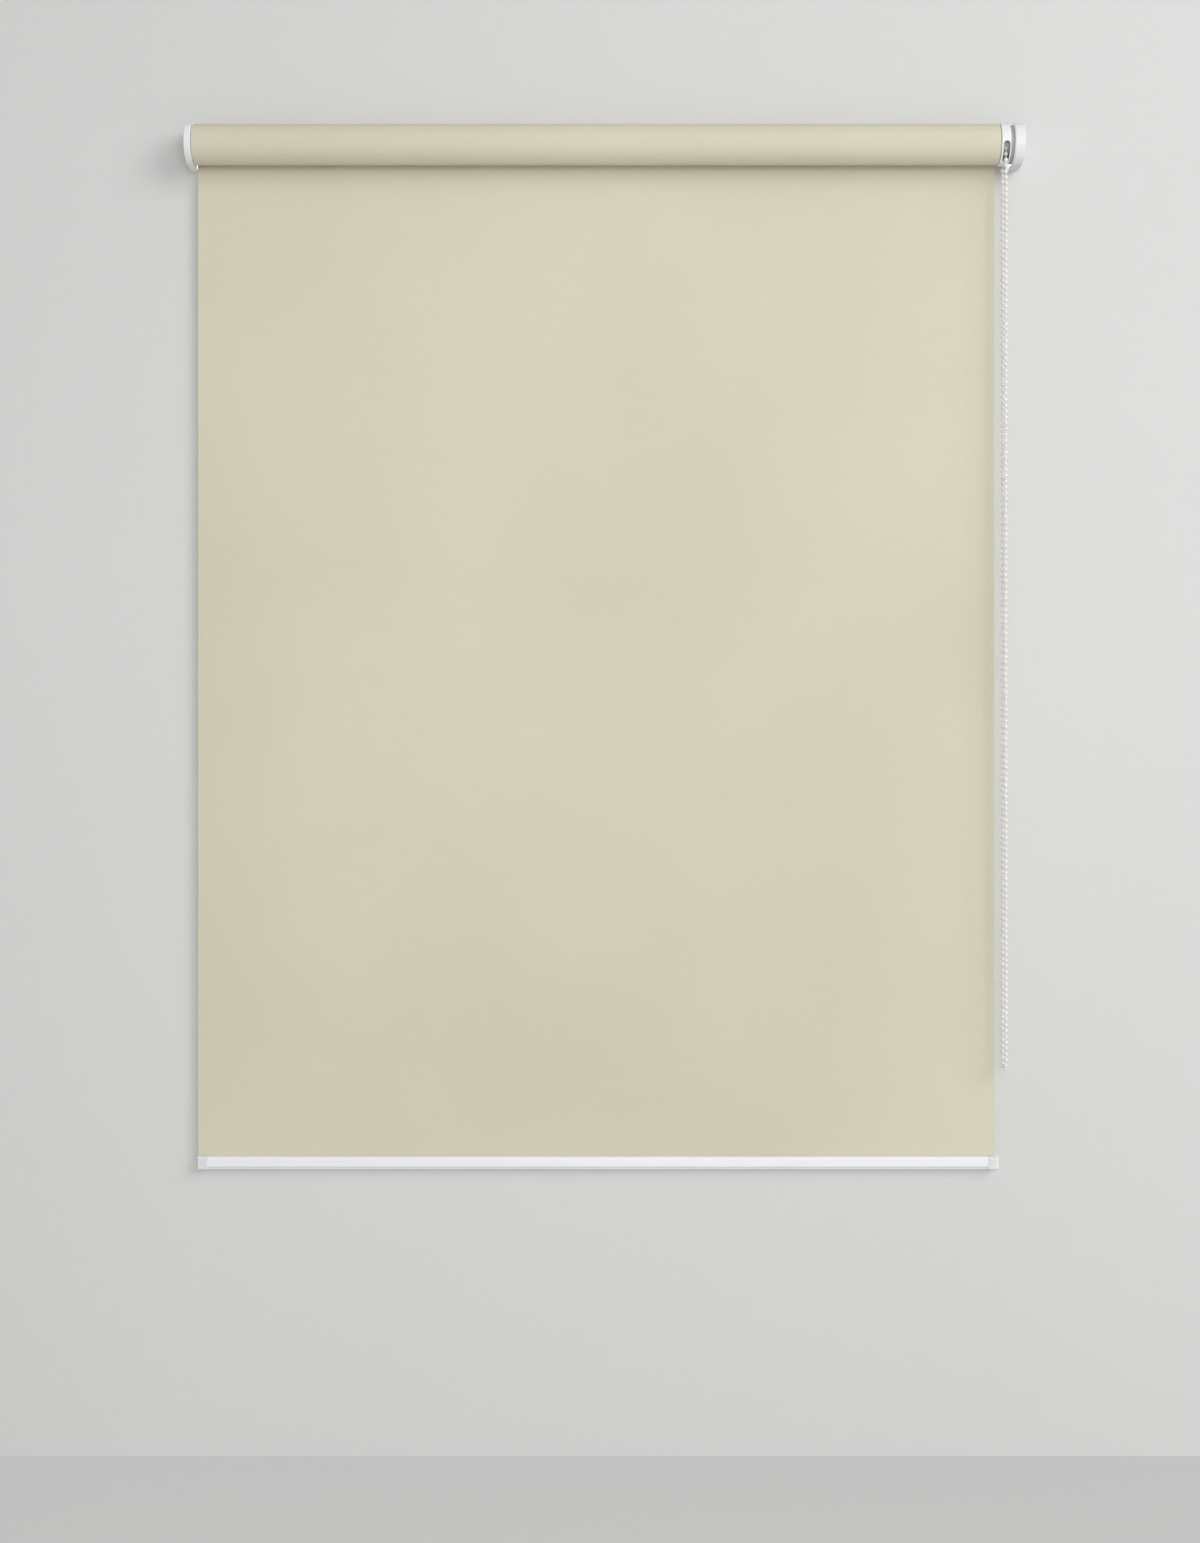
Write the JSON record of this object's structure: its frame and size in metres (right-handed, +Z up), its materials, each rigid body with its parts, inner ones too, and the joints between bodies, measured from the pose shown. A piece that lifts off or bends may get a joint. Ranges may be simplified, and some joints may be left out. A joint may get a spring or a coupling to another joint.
{
  "type": "chain-operated roller blind",
  "caption": "Wall-mounted roller blind: cream fabric off the back of a roll, round-fronted white bracket covers, an endless bead chain at the right end and a slim rounded bottom bar.",
  "frame": {"origin": "on the wall plane at the height of the roll's axis, at the centre of the brackets' four screw holes", "axes": "+X along the tube towards the chain, +Y into the wall, +Z up"},
  "size_m": [0.86, 0.0514, 1.0804],
  "materials": {
    "white_plastic": "satin",
    "chain_plastic": "gloss",
    "grey_plastic": "matte",
    "cream_fabric": "matte",
    "zinc_steel": "satin",
    "spring_steel": "polished",
    "tube_aluminium": "satin",
    "white_aluminium": "satin"
  },
  "bodies": {
    "brackets": {"idle_bracket": "zinc_steel", "idle_bracket_cover": "white_plastic", "idle_bush": "grey_plastic", "drive_bracket": "zinc_steel", "drive_bracket_cover": "white_plastic", "drive_core": "grey_plastic", "core_screw": "spring_steel", "core_retainer": "spring_steel", "chain_guard": "white_plastic", "guard_screws": "spring_steel", "chain": "chain_plastic", "fabric_sheet": "cream_fabric"},
    "roll": {"tube": "tube_aluminium", "tube_spline": "white_plastic", "fabric_roll": "cream_fabric", "idle_plug": "grey_plastic", "idle_plug_cap": "white_plastic", "idle_pin_spring": "spring_steel", "drive_drum": "grey_plastic"},
    "wheel": {"chain_wheel": "white_plastic", "wrap_spring_outer": "spring_steel", "wrap_spring_inner": "spring_steel"},
    "bar": {"bottom_bar": "white_aluminium", "bar_spline": "white_plastic", "bar_end_cap_left": "white_plastic", "bar_end_cap_right": "white_plastic"},
    "pin": {"idle_pin": "zinc_steel"}
  },
  "joints": [
    {"name": "roll_turn", "type": "hinge", "parent": "brackets", "child": "roll", "pos_m": [0, -0.03, 0], "axis": [1, 0, 0], "range_deg": [0, 2520]},
    {"name": "wheel_turn", "type": "hinge", "parent": "brackets", "child": "wheel", "pos_m": [0, -0.03, 0], "axis": [1, 0, 0], "range_deg": [0, 2520], "deforming": ["chain"]},
    {"name": "bar_lift", "type": "slide", "parent": "brackets", "child": "bar", "axis": [0, 0, 1], "range_m": [0, 0.984], "deforming": ["fabric_sheet"]},
    {"name": "idle_pin_push", "type": "slide", "parent": "roll", "child": "pin", "axis": [1, 0, 0], "range_m": [0, 0.007], "stiffness_N_per_m": 400, "springref_m": -0.006, "deforming": ["idle_pin_spring"]}
  ],
  "couplings": [
    {"joint": "wheel_turn", "follows": "roll_turn", "ratio": 1},
    {"joint": "bar_lift", "follows": "roll_turn", "m_per_rad": 0.02237}
  ]
}
